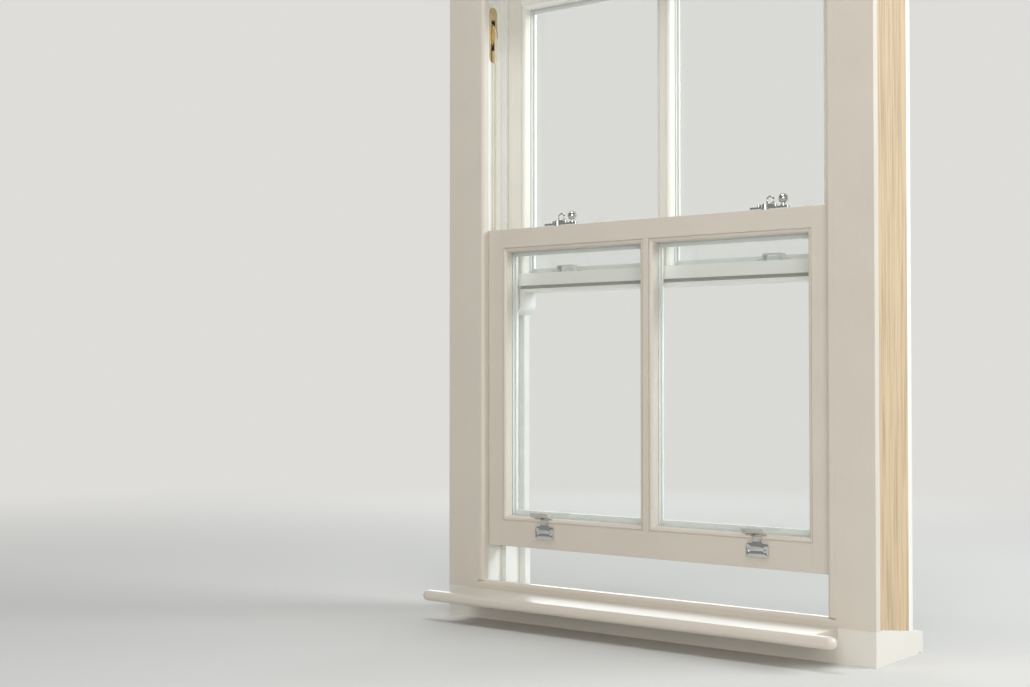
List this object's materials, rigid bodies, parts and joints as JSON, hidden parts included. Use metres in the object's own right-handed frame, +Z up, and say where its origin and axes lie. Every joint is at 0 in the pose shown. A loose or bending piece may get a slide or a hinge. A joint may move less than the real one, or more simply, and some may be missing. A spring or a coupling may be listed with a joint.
{
  "type": "sash window",
  "caption": "Timber box sash window with double-hung sliding sashes, glazing bars, hidden cords, pulleys and weights, chrome lifts and fasteners, and a window board.",
  "frame": {"origin": "on the sill's underside, at mid width, in the plane of the lower sash's room face", "axes": "+X to the right as seen from the room, +Y outdoors, +Z up"},
  "size_m": [1.005, 0.311, 1.4586],
  "materials": {
    "painted_timber": "satin",
    "bare_timber": "matte",
    "glass": "polished",
    "spacer": "satin",
    "chrome": "polished",
    "weight_iron": "matte",
    "pulley_brass": "satin",
    "cord": "matte"
  },
  "bodies": {
    "frame": {"pulley_stile_left": "painted_timber", "pulley_stile_right": "painted_timber", "inner_lining_left": "painted_timber", "inner_lining_right": "painted_timber", "outer_lining_left": "painted_timber", "outer_lining_right": "painted_timber", "back_lining_left": "bare_timber", "back_lining_right": "bare_timber", "parting_bead_left": "painted_timber", "parting_bead_right": "painted_timber", "staff_bead_left": "painted_timber", "staff_bead_right": "painted_timber", "pocket_piece_left": "painted_timber", "pocket_piece_right": "painted_timber", "parting_slip_left": "bare_timber", "parting_slip_right": "bare_timber", "sill": "painted_timber", "window_board": "painted_timber", "head": "painted_timber", "inner_lining_head": "painted_timber", "outer_lining_head": "painted_timber", "parting_bead_head": "painted_timber", "staff_bead_head": "painted_timber", "staff_bead_sill": "painted_timber", "pulley_cases": "pulley_brass", "lower_cord_left": "cord", "lower_cord_right": "cord", "upper_cord_left": "cord", "upper_cord_right": "cord"},
    "lower_sash": {"lower_stile_left": "painted_timber", "lower_stile_right": "painted_timber", "lower_glass_left": "glass", "lower_glass_right": "glass", "lower_bottom_rail": "painted_timber", "lower_meeting_rail": "painted_timber", "lower_glazing_bar": "painted_timber", "lower_spacers": "spacer", "lower_glazing_beads": "painted_timber", "fastener_bases": "chrome", "sash_lifts": "chrome"},
    "upper_sash": {"upper_stile_left": "painted_timber", "upper_stile_right": "painted_timber", "upper_glass_left": "glass", "upper_glass_right": "glass", "upper_top_rail": "painted_timber", "upper_meeting_rail": "painted_timber", "upper_glazing_bar": "painted_timber", "upper_spacers": "spacer", "upper_glazing_beads": "painted_timber", "fastener_keeps": "chrome"},
    "lower_weight_left": {"lower_weight_left": "weight_iron"},
    "lower_weight_right": {"lower_weight_right": "weight_iron"},
    "upper_weight_left": {"upper_weight_left": "weight_iron"},
    "upper_weight_right": {"upper_weight_right": "weight_iron"},
    "lower_wheel_left": {"lower_wheel_left": "pulley_brass"},
    "lower_wheel_right": {"lower_wheel_right": "pulley_brass"},
    "upper_wheel_left": {"upper_wheel_left": "pulley_brass"},
    "upper_wheel_right": {"upper_wheel_right": "pulley_brass"},
    "fastener_arm_left": {"fastener_arm_left": "chrome"},
    "fastener_arm_right": {"fastener_arm_right": "chrome"}
  },
  "joints": [
    {"name": "lower_sash_slide", "type": "slide", "parent": "frame", "child": "lower_sash", "axis": [0, 0, 1], "range_m": [-0.092, 0.458], "deforming": ["lower_cord_left", "lower_cord_right"]},
    {"name": "upper_sash_slide", "type": "slide", "parent": "frame", "child": "upper_sash", "axis": [0, 0, 1], "range_m": [-0.55, 0], "deforming": ["upper_cord_left", "upper_cord_right"]},
    {"name": "lower_weight_left_slide", "type": "slide", "parent": "frame", "child": "lower_weight_left", "axis": [0, 0, 1], "range_m": [-0.458, 0.092]},
    {"name": "lower_wheel_left_spin", "type": "hinge", "parent": "frame", "child": "lower_wheel_left", "pos_m": [-0.438, 0.0275, 1.2736], "axis": [0, 1, 0], "continuous": true},
    {"name": "lower_weight_right_slide", "type": "slide", "parent": "frame", "child": "lower_weight_right", "axis": [0, 0, 1], "range_m": [-0.458, 0.092]},
    {"name": "lower_wheel_right_spin", "type": "hinge", "parent": "frame", "child": "lower_wheel_right", "pos_m": [0.438, 0.0275, 1.2736], "axis": [0, 1, 0], "continuous": true},
    {"name": "upper_weight_left_slide", "type": "slide", "parent": "frame", "child": "upper_weight_left", "axis": [0, 0, 1], "range_m": [0, 0.55]},
    {"name": "upper_wheel_left_spin", "type": "hinge", "parent": "frame", "child": "upper_wheel_left", "pos_m": [-0.438, 0.093, 1.2736], "axis": [0, 1, 0], "continuous": true},
    {"name": "upper_weight_right_slide", "type": "slide", "parent": "frame", "child": "upper_weight_right", "axis": [0, 0, 1], "range_m": [0, 0.55]},
    {"name": "upper_wheel_right_spin", "type": "hinge", "parent": "frame", "child": "upper_wheel_right", "pos_m": [0.438, 0.093, 1.2736], "axis": [0, 1, 0], "continuous": true},
    {"name": "fastener_left_pivot", "type": "hinge", "parent": "lower_sash", "child": "fastener_arm_left", "pos_m": [-0.25, 0.04, 0.8393], "axis": [0, 0, 1], "range_deg": [-90, 0]},
    {"name": "fastener_right_pivot", "type": "hinge", "parent": "lower_sash", "child": "fastener_arm_right", "pos_m": [0.25, 0.04, 0.8393], "axis": [0, 0, 1], "range_deg": [-90, 0]}
  ],
  "couplings": [
    {"joint": "lower_weight_left_slide", "follows": "lower_sash_slide", "ratio": -1},
    {"joint": "lower_wheel_left_spin", "follows": "lower_sash_slide", "rad_per_m": -35.714},
    {"joint": "lower_weight_right_slide", "follows": "lower_sash_slide", "ratio": -1},
    {"joint": "lower_wheel_right_spin", "follows": "lower_sash_slide", "rad_per_m": 35.714},
    {"joint": "upper_weight_left_slide", "follows": "upper_sash_slide", "ratio": -1},
    {"joint": "upper_wheel_left_spin", "follows": "upper_sash_slide", "rad_per_m": -35.714},
    {"joint": "upper_weight_right_slide", "follows": "upper_sash_slide", "ratio": -1},
    {"joint": "upper_wheel_right_spin", "follows": "upper_sash_slide", "rad_per_m": 35.714}
  ]
}
